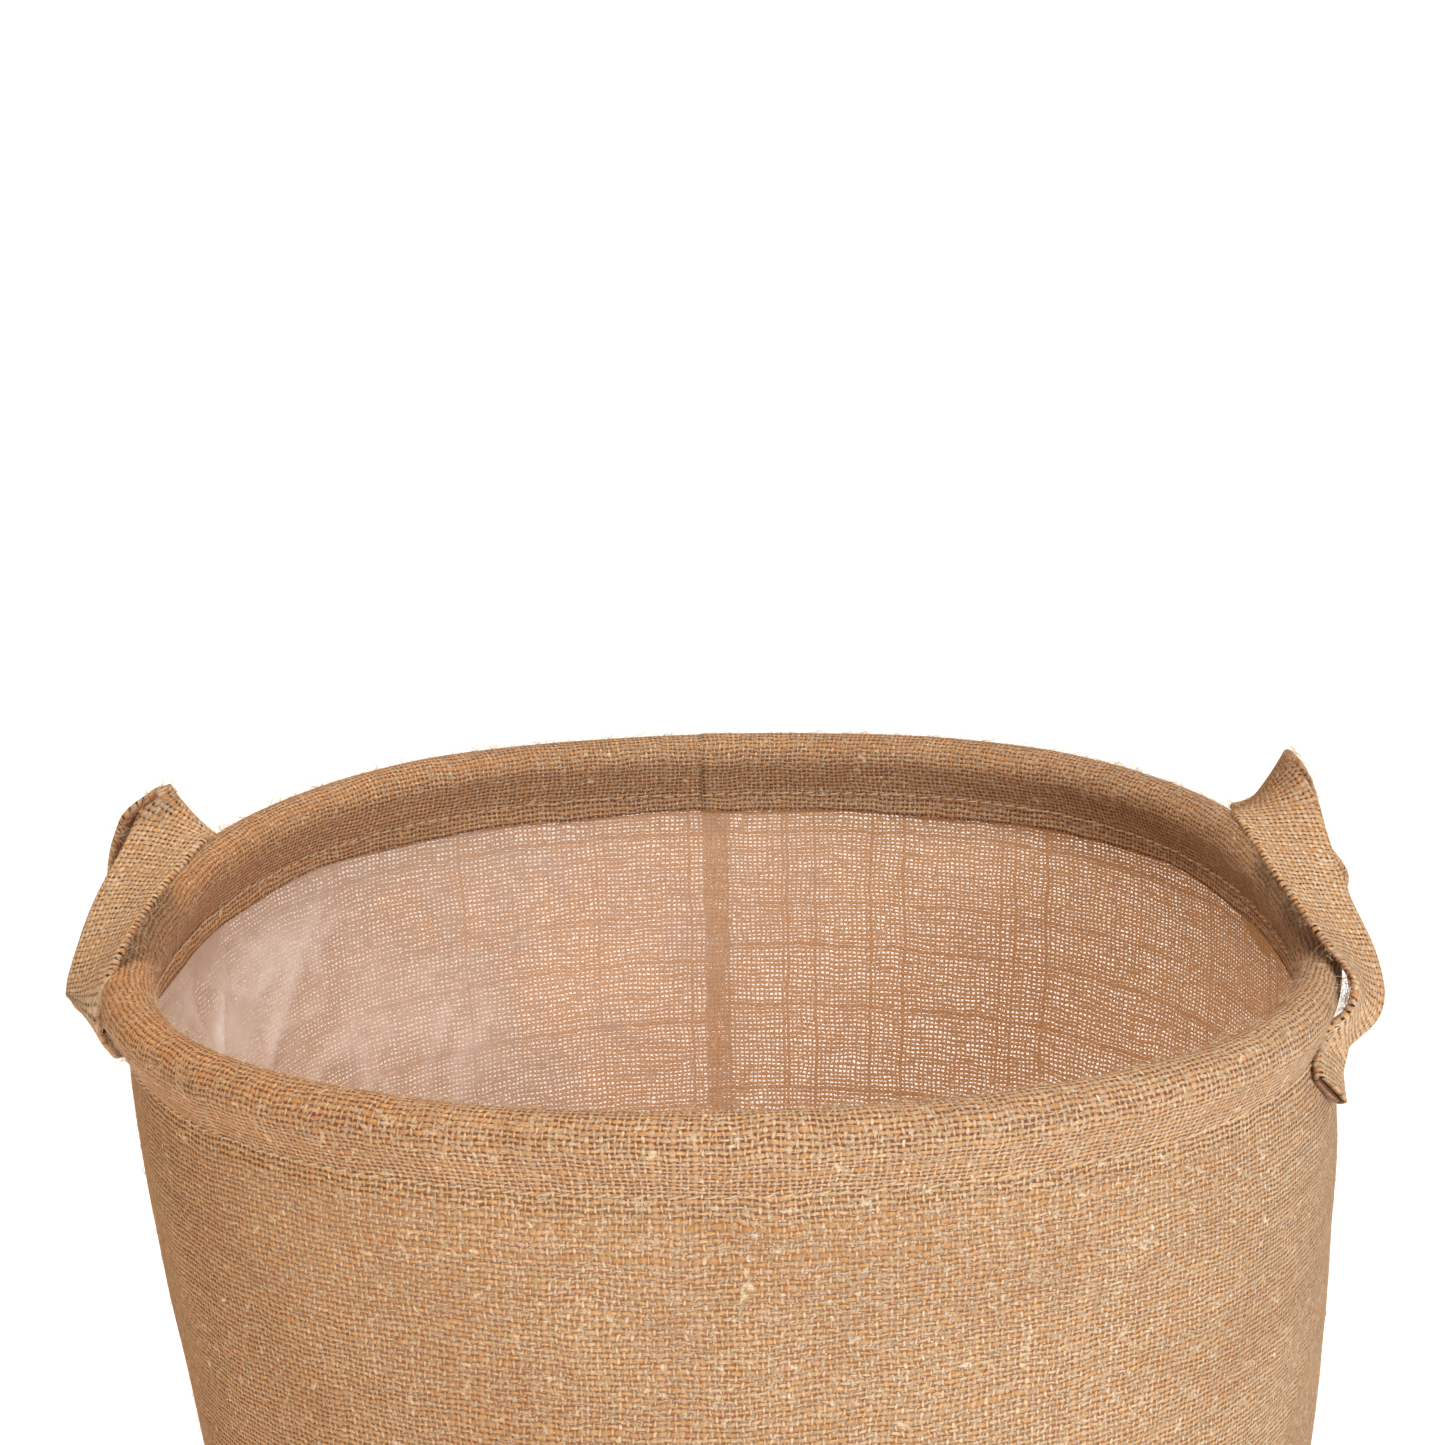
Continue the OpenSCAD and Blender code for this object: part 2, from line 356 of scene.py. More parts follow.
def make_wall():
    angle = wall_angles()
    hem = rim_z(angle) - HEM_DEPTH
    share = np.linspace(0, 1, WALL_ROWS) ** 0.8
    z = 0.4 * MM + (hem[:, None] - 0.4 * MM) * share[None, :-1]
    grid = angle[:, None] + 0 * z
    low = point_at(wall_r(grid, z), grid, z)
    section = roll_section(angle)
    r = rim_r(angle)[:, None] + section[..., 0]
    inner = step(-section[..., 0], 2 * MM, 6 * MM) * step(-section[..., 1], 2 * MM, 8 * MM)
    r = r + inner * facing_pulls(angle)[:, None] * 0.8
    top = point_at(r, angle[:, None] + 0 * r, rim_z(angle)[:, None] + section[..., 1])
    points = np.concatenate([low, top], 1)
    normal = np.cross(np.gradient(points, axis=0), np.gradient(points, axis=1))
    normal /= np.linalg.norm(normal, axis=-1, keepdims=True)
    past = (angle - BACK - 2 * math.pi) * RING_R
    on_roll = step(np.arange(points.shape[1]), len(z[0]), len(z[0]) + 8)
    lift = LAP_LIFT * step(past, -7 * MM, 0.5 * MM)[:, None] * (1 - 0.6 * on_roll)[None, :]
    points = points + normal * lift[..., None]
    run = np.linalg.norm(np.diff(points, axis=1), axis=-1).mean(0)
    v = np.concatenate([[0], np.cumsum(run)])
    u = (angle - BACK) / (2 * math.pi) * THREADS_ROUND * WARP_PITCH
    uv = np.stack(np.meshgrid(u, v, indexing="ij"), -1)
    crease = (CREASE_AT + 2 * math.pi - BACK) / (2 * math.pi) * THREADS_ROUND * WARP_PITCH
    right_of_crease = np.clip(u - crease, 0, 0.12)
    below = 1 - step(v, v[z.shape[1]] - 60 * MM, v[z.shape[1]] - 2 * MM)
    uv[..., 1] -= 0.05 * right_of_crease[:, None] * below[None, :]
    ob = grid_object("wall_cloth", points, uv)
    over = step(v, v[z.shape[1]] - 2 * MM, v[z.shape[1]] + 4 * MM)
    paint(ob, "roll", np.broadcast_to(over[None, :], points.shape[:2]))
    # Painted shade: the wall's left side, which stands in shade, is painted deeper and more golden, as the
    # jute looks there in shade.
    shaded_side = near(angle, math.radians(-168), 52)
    paint(ob, "painted_side_shade", np.broadcast_to(shaded_side[:, None], points.shape[:2]))
    return thicken(ob, WEAVE_T), v[-1]


def film_gap(angle, z):
    """How far the film stands off the cloth, and how milky it is there; along its folds the milkiness is
    partly a painted highlight.
    """
    d = rim_z(angle) - z
    free = step(d, 22 * MM, 45 * MM)
    left = near(angle, math.radians(165), 48)
    fold = np.clip(1 - 8 * np.abs(lumps(angle + 1.5 * z, z + 0.1 * angle, 52 * MM, 33.0)), 0, 1)
    fine_fold = np.clip(1 - 10 * np.abs(lumps(angle - 2.0 * z, z, 32 * MM, 57.0)), 0, 1)
    fold = np.maximum(fold, 0.8 * fine_fold)
    loose = (0.4 + 2.2 * left) * MM * free * (0.5 + 0.5 * lumps(angle, z, 60 * MM, 21.0))
    loose = loose + 1.5 * MM * free * (0.1 + 0.9 * left) * fold
    milk = 0.28 + 0.42 * np.clip(near(angle, math.radians(165), 58) + 0 * z, 0, 1)
    patch = step(lumps(angle, z, 42 * MM, 71.0), -0.1, 0.35)
    # Along the folds the film is painted milkier, partly its own whitening at a crease and partly a painted
    # highlight on the creases.
    return loose, milk + free * left * (0.40 * fold + 0.32 * patch)


def make_film():
    angle = np.linspace(0, 2 * math.pi, FILM_COLUMNS, endpoint=False) + BACK
    top = rim_z(angle) - FILM_TOP_DEPTH
    share = np.linspace(0, 1, FILM_ROWS)
    z = FILM_LOW + (top[:, None] - FILM_LOW) * share[None, :]
    grid = angle[:, None] + 0 * z
    loose, milk = film_gap(grid, z)
    above = z > (rim_z(grid) - HEM_DEPTH)
    r = np.where(above, rim_r(grid) + NECK_OUT, wall_r(grid, np.minimum(z, rim_z(grid) - HEM_DEPTH)))
    r = r - WEAVE_T - FILM_GAP - loose
    points = point_at(r, grid, z)
    u = np.linspace(0, THREADS_ROUND * WARP_PITCH, len(angle) + 1)
    uv = np.stack(np.meshgrid(u, z.mean(0), indexing="ij"), -1)
    ob = grid_object("wall_lining", points, uv, closed_u=True)
    paint(ob, "milk", milk)
    return thicken(ob, FILM_T)


def make_base(name, inset, z0, turn_up, thickness):
    """A round piece of cloth or film with its edge turned up inside the wall."""
    angle = np.linspace(0, 2 * math.pi, 180, endpoint=False)
    edge = wall_r(angle, 0 * angle) - inset
    flat = np.linspace(0.02, 1, 30) ** 0.8
    rise = np.linspace(0, 1, 9)[1:]
    r = np.concatenate([edge[:, None] * flat, (wall_r(angle[:, None], turn_up * rise[None, :]) - inset)], 1)
    sag = 0.4 * MM * np.sin(r[:, : len(flat)] / (17 * MM)) ** 2 * (1 - flat**6)
    z = np.concatenate([z0 + sag, z0 + (turn_up - z0) * rise[None, :] + 0 * angle[:, None]], 1)
    grid = angle[:, None] + 0 * r
    points = point_at(r, grid, z)
    reach = np.concatenate([r[:, : len(flat)], r[:, len(flat) - 1 : len(flat)] + turn_up * rise[None, :]], 1)
    flat_map = np.stack([reach * np.cos(grid), reach * np.sin(grid)], -1)
    uv = np.concatenate([flat_map, flat_map[:1]], 0)
    ob = grid_object(name, points, uv, closed_u=True)
    return thicken(ob, thickness)


def make_hoop(name, radius, start, stop, sides, count):
    angle = np.linspace(start, stop, count)
    path = point_at(rim_r(angle), angle, rim_z(angle))
    return tubes(name, path[None], radius, sides)


def hem_line(angle, inset):
    r = rim_r(angle) + NECK_OUT - inset
    return point_at(r, angle, rim_z(angle) - HEM_DEPTH)


def outward(angle, sign=1):
    return np.stack([sign * np.cos(angle), sign * np.sin(angle), 0 * angle], -1)


def make_hem_stitches():
    angle = np.linspace(0, 2 * math.pi, 721)
    outer = stitches(hem_line(angle, 0), outward(angle), STITCH_PITCH, THREAD_D, 0.9 * MM)
    inside = hem_line(angle, CLOTH_T + FACING_IN + CLOTH_T)
    inner = stitches(inside, outward(angle, -1), STITCH_PITCH, THREAD_D, 0.5 * MM)
    rows = np.concatenate([outer, inner[: len(outer)]])
    return tubes("hem_stitches", rows, thread_shape(0.5 * THREAD_D))


def thread_shape(radius):
    """Radius along a stitch, thinner where it dips into the cloth."""
    return radius * np.array([0.55, 0.85, 1.0, 1.05, 1.0, 0.85, 0.55])


def make_seam_stitches():
    z = np.linspace(16 * MM, rim_z(BACK) - HEM_DEPTH - 4 * MM, 400)
    angle = np.full_like(z, BACK + LAP / RING_R * 0.45)
    line = point_at(wall_r(angle, z) + LAP_LIFT, angle, z)
    row = stitches(line, outward(angle), STITCH_PITCH, THREAD_D)
    return tubes("seam_stitches", row, thread_shape(0.5 * THREAD_D))


def make_base_stitches():
    angle = np.linspace(0, 2 * math.pi, 721)
    line = point_at(wall_r(angle, 7 * MM + 0 * angle), angle, 7 * MM + 0 * angle)
    lift = LAP_LIFT * near(angle, BACK + 0.5 * LAP / RING_R, 2.5)
    line = line + outward(angle) * lift[:, None]
    row = stitches(line, outward(angle), 5.0 * MM, THREAD_D)
    return tubes("base_stitches", row, thread_shape(0.5 * THREAD_D))


def fibres(name, roots, normals, low, high, stand, radius=0.09 * MM):
    """Fine loose fibres growing from roots.

    low and high are their least and greatest length, and stand is how steeply they leave the cloth.
    """
    n = len(roots)
    length = rng.uniform(low, high, (n, 1, 1))
    t = np.linspace(0, 1, 5)[None, :, None]
    lie = rng.normal(size=(n, 3))
    lie -= (lie * normals).sum(1, keepdims=True) * normals
    lie /= np.linalg.norm(lie, axis=1, keepdims=True)
    turn = np.cross(normals, lie)
    rise = rng.uniform(0.15, 1.0, (n, 1, 1)) * stand
    curl = rng.normal(0, 0.8, (n, 1, 1))
    height = rise * t * (1.25 - 0.6 * t) * length
    path = roots[:, None] + normals[:, None] * height
    path = path + lie[:, None] * t * length + turn[:, None] * curl * t**2 * length
    path += rng.normal(0, 0.09, (n, 5, 3)) * length * t
    return tubes(name, path, radius * (1 - 0.6 * t[..., 0]) * rng.uniform(0.7, 1.3, (n, 1)), sides=3)


def make_rim_fibres():
    n = 6500
    angle = rng.uniform(0, 2 * math.pi, n)
    turn = rng.uniform(-0.45 * math.pi, 1.2 * math.pi, n)
    out = np.stack([np.cos(turn) * np.cos(angle), np.cos(turn) * np.sin(angle), np.sin(turn)], -1)
    middle = point_at(rim_r(angle), angle, rim_z(angle))
    return fibres("rim_fibres", middle + out * (ROLL_R - 0.2 * MM), out, 1.5 * MM, 6.0 * MM, 0.6)


def make_wall_fibres():
    n = 6500
    angle = rng.uniform(0, 2 * math.pi, n)
    z = rng.uniform(11 * MM, ROLL_Z - HEM_DEPTH - 3 * MM, n)
    roots = point_at(wall_r(angle, z) - 0.1 * MM, angle, z)
    return fibres("wall_fibres", roots, outward(angle), 1.5 * MM, 6.0 * MM, 0.3, 0.08 * MM)


# ---- Handles ----

STRAP_W = 26.5 * MM
STRAP_T = 2.5 * MM
STRAP_CLOTH = 1.0 * MM
END_FLARE = 1.1 * MM


def polar(r, degrees, height):
    a = math.radians(degrees)
    return np.array([r * math.cos(a), r * math.sin(a), height])


def smooth_line(points, steps):
    """A Catmull-Rom line through the points."""
    p = np.array(points, float)
    p = np.vstack([2 * p[0] - p[1], p, 2 * p[-1] - p[-2]])
    t = np.linspace(0, 1, steps, endpoint=False)[:, None]
    out = []
    for a, b, c, d in zip(p[:-3], p[1:-2], p[2:-1], p[3:]):
        square, cube = 2 * a - 5 * b + 4 * c - d, 3 * b - a - 3 * c + d
        out.append(0.5 * (2 * b + (c - a) * t + square * t**2 + cube * t**3))
    return np.vstack([*out, p[-2:-1]])


def even(line, across, spacing):
    """The same line and across directions at an even spacing."""
    along = np.concatenate([[0], np.cumsum(np.linalg.norm(np.diff(line, axis=0), axis=1))])
    at = np.linspace(0, along[-1], int(round(along[-1] / spacing)) + 1)
    pick = lambda table: np.stack([np.interp(at, along, table[:, k]) for k in range(3)], 1)
    return pick(line), pick(across), at


def strap_frames(line, across):
    along = np.gradient(line, axis=0)
    along /= np.linalg.norm(along, axis=1, keepdims=True)
    w = across - (across * along).sum(1, keepdims=True) * along
    w /= np.linalg.norm(w, axis=1, keepdims=True)
    return along, w, np.cross(along, w)


def flat_ring(width, thickness, count):
    """Points round a flattened tube: across the strap and through it."""
    straight, half = width - thickness, thickness / 2
    t = np.linspace(0, math.pi, count)
    right = np.stack([straight / 2 + half * np.sin(t), -half * np.cos(t)], -1)
    k = np.linspace(0, 1, 13)[1:-1, None]
    top = right[-1] * (1 - k) + np.array([-straight / 2, half]) * k
    left = -right
    bottom = left[-1] * (1 - k) + right[0] * k
    return np.vstack([right, top, left, bottom])


def full_line(stops, flip):
    """A strap's middle line and its directions across it. flip turns them to the left side of the bag."""
    points = [polar(RING_R + out * MM, angle, ROLL_Z + up * MM) for out, angle, up, _ in stops]
    across = [width for *_, width in stops]
    line, across, at = even(smooth_line(points, 24), smooth_line(across, 24), 1.5 * MM)
    side = np.array([-1, 1, 1]) if flip else np.array([1, 1, 1])
    return line * side, across * side, at


def end_flare(at, flip):
    """How far each face of a strap stands away from its middle near the open ends.

    The left strap's first end is pressed flat.
    """
    return END_FLARE * ((0 if flip else 1) * np.exp(-at / (5 * MM)) + np.exp(-(at[-1] - at) / (5 * MM)))


def bag_outside(angle, z):
    """Radius of the bag's outer face below the roll."""
    hem = rim_r(angle) + NECK_OUT + 0.42 * (HEM_DEPTH - rim_z(angle) + z)
    return np.maximum(wall_r(angle, z), hem)


def against_wall(line, across, at, flip):
    """Brings the sewn ends of a strap to lie flat on the outside of the wall and its hem."""
    angle, r, z = np.arctan2(line[:, 1], line[:, 0]), np.hypot(line[:, 0], line[:, 1]), line[:, 2]
    turns_in = 12 * MM if flip else 8 * MM
    share = step(rim_z(angle) - z, turns_in, turns_in + (10 * MM if flip else 8 * MM))
    rest = bag_outside(angle, z) + 0.5 * STRAP_T + 0.5 * MM + end_flare(at, flip)
    slope = (wall_r(angle, z + MM) - wall_r(angle, z - MM)) / (2 * MM)
    face = np.stack([np.cos(angle), np.sin(angle), -slope], -1)
    face /= np.linalg.norm(face, axis=1, keepdims=True)
    across = across - (across * face).sum(1, keepdims=True) * face * share[:, None]
    return point_at(r * (1 - share) + rest * share, angle, z), across


def make_strap(name, stops, flip):
    """A strap folded into a flat tube of cloth, open at both sewn ends."""
    line, across, at = full_line(stops, flip)
    line, across = against_wall(line, across, at, flip)
    along, w, n = strap_frames(line, across)
    n = -n if flip else n
    flare = end_flare(at, flip)
    narrow = 1 - 0.20 * np.exp(-(((at - at[np.argmax(line[:, 2])]) / (11 * MM)) ** 2))
    crumple = np.array([perlin.noise(Vector((3.0, 1.7 * flip, s / (14 * MM)))) for s in at])
    loose = step(np.minimum(at, at[-1] - at), 10 * MM, 24 * MM)[:, None]
    facing = np.sign((n[5] * line[5] * (1, 1, 0)).sum())
    shells = []
    for cut in (0, 1.7 * STRAP_CLOTH):
        ring = flat_ring(STRAP_W - cut, STRAP_T - cut, 7)
        side = ring[:, 0] / (STRAP_W / 2)
        thick = ring[None, :, 1] * (1 + flare[:, None] * (1 - side**2) / (0.5 * STRAP_T))
        cup = (-0.7 * MM * side**2 + 0.5 * MM * crumple[:, None] * side) * loose
        out = (ring[None, :, :1] * narrow[:, None, None]) * w[:, None] + (thick + cup)[..., None] * n[:, None]
        spot = line[:, None] + out
        angle, r = np.arctan2(spot[..., 1], spot[..., 0]), np.hypot(spot[..., 0], spot[..., 1])
        z = spot[..., 2]
        layer = 0.5 * STRAP_T + ring[None, :, 1] * facing
        clear = bag_outside(angle, z) + 0.25 * MM + 0.6 * layer
        shells.append(point_at(np.where(rim_z(angle) - z > 9 * MM, np.maximum(r, clear), r), angle, z))
    sides = np.linalg.norm(np.diff(ring, axis=0, append=ring[:1]), axis=1)
    round_it = np.concatenate([[0], np.cumsum(sides)])
    both = np.concatenate([shells[0], shells[1][::-1]], 0)
    v = np.concatenate([at, at[::-1], at[:1]])
    uv = np.stack(np.meshgrid(v, round_it, indexing="ij"), -1)[..., ::-1]
    strap = grid_object(name, both, uv, closed_u=True, closed_v=True)
    # Painted shade: the strap's face towards the bag and the inner layer of its tube are painted darker, and
    # so is the crest, most on the right strap.
    under = np.broadcast_to(step(-ring[:, 1] * facing, -0.4 * MM, 0.6 * MM), both.shape[:2]).copy()
    under[len(at) :] = 1.0
    crest = np.exp(-(((at - at[np.argmax(line[:, 2])]) / (15 * MM)) ** 2))
    under[: len(at)] = np.maximum(under[: len(at)], (0.1 if flip else 0.6) * crest[:, None])
    paint(strap, "under", under)
    if not flip:
        strap.data.flip_normals()
    return strap, line, w, n, at


def make_end_stitches(name, line, w, n, at):
    """A row of stitches across each sewn end and one up each side of it, through the strap into the wall."""
    rows = []
    for ends in (np.arange(len(at)), np.arange(len(at))[::-1]):
        from_end = np.abs(at[ends] - at[ends[0]])
        near_end = ends[(from_end > 4 * MM) & (from_end < 16 * MM)]
        out = n[near_end] * np.sign((n[near_end] * line[near_end] * (1, 1, 0)).sum(1, keepdims=True))
        skin = 0.5 * STRAP_T - 0.2 * MM
        for share in (-0.36, 0.36):
            rows.append((line[near_end] + share * STRAP_W * w[near_end] + skin * out, out))
        for k in (0, -1):
            share = np.linspace(-0.36, 0.36, 12)[:, None]
            row = line[near_end[k]] + share * STRAP_W * w[near_end[k]] + skin * out[k]
            rows.append((row, out[k] + 0 * share))
    paths = []
    for row, out in rows:
        angle, r, z = np.arctan2(row[:, 1], row[:, 0]), np.hypot(row[:, 0], row[:, 1]), row[:, 2]
        row = point_at(np.maximum(r, bag_outside(angle, z) + 0.15 * MM + 0.6 * STRAP_T), angle, z)
        paths.append(stitches(row, out, 3.6 * MM, THREAD_D))
    paths = np.concatenate(paths)
    return tubes(name, paths, thread_shape(0.5 * THREAD_D))


def strap_fibres(name, line, w, n, at):
    count = 1300
    k = rng.integers(2, len(at) - 2, count)
    side, face = rng.uniform(-0.5, 0.5, (count, 1)), rng.choice([-1.0, 1.0], (count, 1))
    out = n[k] * face
    edge = rng.random((count, 1)) < 0.4
    out = np.where(edge, w[k] * np.sign(side), out)
    roots = line[k] + np.where(edge, np.sign(side) * 0.5, side) * STRAP_W * w[k]
    roots = roots + np.where(edge, 0, face * 0.5 * STRAP_T) * n[k] - out * 0.4 * MM
    return fibres(name, roots, out, 1.0 * MM, 4 * MM, 0.3, 0.08 * MM)


# The way of each strap from its front end to its back end. Every stop has how far outside the middle of the
# roll it is in mm, its angle from the middle of the handle in degrees, how high over the middle of the roll
# it is in mm, and where the strap's width points there.
RIGHT_STOPS = [
    (2, -28, -25, (0.4, 0.6, -0.7)),  # front end, flat on the wall
    (5, -25, -12, (0.0, 0.6, -0.8)),  # turning in under the roll
    (7, -21, 0, (0.6, 0.7, -0.5)),  # beside the roll
    (-10, -14, 20, (0.8, 0.5, -0.2)),  # leaning in over the mouth
    (-20, -5, 34, (0.6, 0.7, 0.3)),  # under the crest
    (-18, 3, 36, (0.6, 0.4, 0.7)),  # crest, where it turns over
    (-12, 8, 26, (0.7, -0.5, 0.5)),
    (0, 12, 10, (0.5, -0.9, 0.1)),
    (12, 15, -3, (0.6, -0.7, -0.3)),  # bow outside the roll
    (9, 18, -17, (0.4, -0.7, -0.6)),
    (1, 23, -30, (0.3, -0.7, -0.6)),  # back end, flat on the wall
]
LEFT_STOPS = [
    (-1, -6, -27, (0.1, 0.9, -0.4)),  # front end, tucked in behind the loop
    (6, -12, -17, (0.2, 1.0, -0.1)),  # turning in under the roll
    (9, -14, -5, (0.5, 0.8, -0.2)),  # bow outside the roll
    (-2, -8, 14, (0.6, 0.8, 0.0)),
    (-15, -1, 30, (0.7, 0.7, 0.3)),  # leaning in over the mouth
    (-18, 2, 36, (0.4, -0.4, 0.8)),  # crest, where it turns over
    (-5, 4, 35, (0.3, -1.0, -0.1)),
    (5, 7, 19, (0.2, -0.9, -0.4)),
    (8, 12, -1, (0.2, -1.0, -0.2)),  # beside the roll
    (6, 17, -18, (0.2, -0.8, -0.5)),
    (1, 23, -30, (0.3, -0.7, -0.6)),  # back end, flat on the wall
]

# ---- Materials ----


class Shader:
    """Builds a node material a node at a time."""

    def __init__(self, name):
        self.material = bpy.data.materials.new(name)
        self.material.use_nodes = True
        self.nodes = self.material.node_tree.nodes
        self.bsdf = self.nodes["Principled BSDF"]

    def put(self, socket, value):
        if isinstance(value, bpy.types.NodeSocket):
            self.material.node_tree.links.new(value, socket)
        elif value is not None:
            socket.default_value = value

    def math(self, operation, a, b=None):
        node = self.nodes.new("ShaderNodeMath")
        node.operation = operation
        for socket, value in zip(node.inputs, (a, b)):
            self.put(socket, value)
        return node.outputs[0]

    def add(self, a, b):
        return self.math("ADD", a, b)

    def sub(self, a, b):
        return self.math("SUBTRACT", a, b)

    def mul(self, a, b):
        return self.math("MULTIPLY", a, b)

    def vector(self, x=0.0, y=0.0, z=0.0):
        node = self.nodes.new("ShaderNodeCombineXYZ")
        for socket, value in zip(node.inputs, (x, y, z)):
            self.put(socket, value)
        return node.outputs[0]

    def split(self, vector):
        node = self.nodes.new("ShaderNodeSeparateXYZ")
        self.put(node.inputs[0], vector)
        return node.outputs[0], node.outputs[1], node.outputs[2]

    def ramp(self, value, low, high, to_low=0.0, to_high=1.0):
        node = self.nodes.new("ShaderNodeMapRange")
        for socket, v in zip(node.inputs, (value, low, high, to_low, to_high)):
            self.put(socket, v)
        return node.outputs[0]

    def noise(self, vector, scale, detail=2.0, roughness=0.5, colour=False):
        node = self.nodes.new("ShaderNodeTexNoise")
        self.put(node.inputs["Vector"], vector)
        node.inputs["Scale"].default_value = scale
        node.inputs["Detail"].default_value = detail
        node.inputs["Roughness"].default_value = roughness
        return node.outputs["Color" if colour else "Fac"]

    def cracks(self, vector, scale):
        """Distance to the nearest of a net of random lines, in cells."""
        node = self.nodes.new("ShaderNodeTexVoronoi")
        node.feature = "DISTANCE_TO_EDGE"
        self.put(node.inputs["Vector"], vector)
        node.inputs["Scale"].default_value = scale
        return node.outputs["Distance"]

    def painted(self, name):
        """A value painted on the mesh, 0 where the mesh has none."""
        node = self.nodes.new("ShaderNodeAttribute")
        node.attribute_name = name
        return node.outputs["Fac"]

    def random(self, value):
        node = self.nodes.new("ShaderNodeTexWhiteNoise")
        node.noise_dimensions = "1D"
        self.put(node.inputs["W"], value)
        return node.outputs["Value"]

    def mix(self, share, a, b, blend="MIX"):
        node = self.nodes.new("ShaderNodeMix")
        node.data_type = "RGBA"
        node.blend_type = blend
        self.put(node.inputs["Factor"], share)
        self.put(node.inputs[6], a)
        self.put(node.inputs[7], b)
        return node.outputs[2]

    def blend(self, share, a, b):
        node = self.nodes.new("ShaderNodeMix")
        node.data_type = "FLOAT"
        self.put(node.inputs[0], share)
        self.put(node.inputs[2], a)
        self.put(node.inputs[3], b)
        return node.outputs[0]

    def bump(self, height, distance):
        node = self.nodes.new("ShaderNodeBump")
        node.inputs["Distance"].default_value = distance
        node.inputs["Strength"].default_value = 1.0
        self.put(node.inputs["Height"], height)
        self.put(self.bsdf.inputs["Normal"], node.outputs[0])

    def set(self, **values):
        for name, value in values.items():
            self.put(self.bsdf.inputs[name.replace("_", " ")], value)


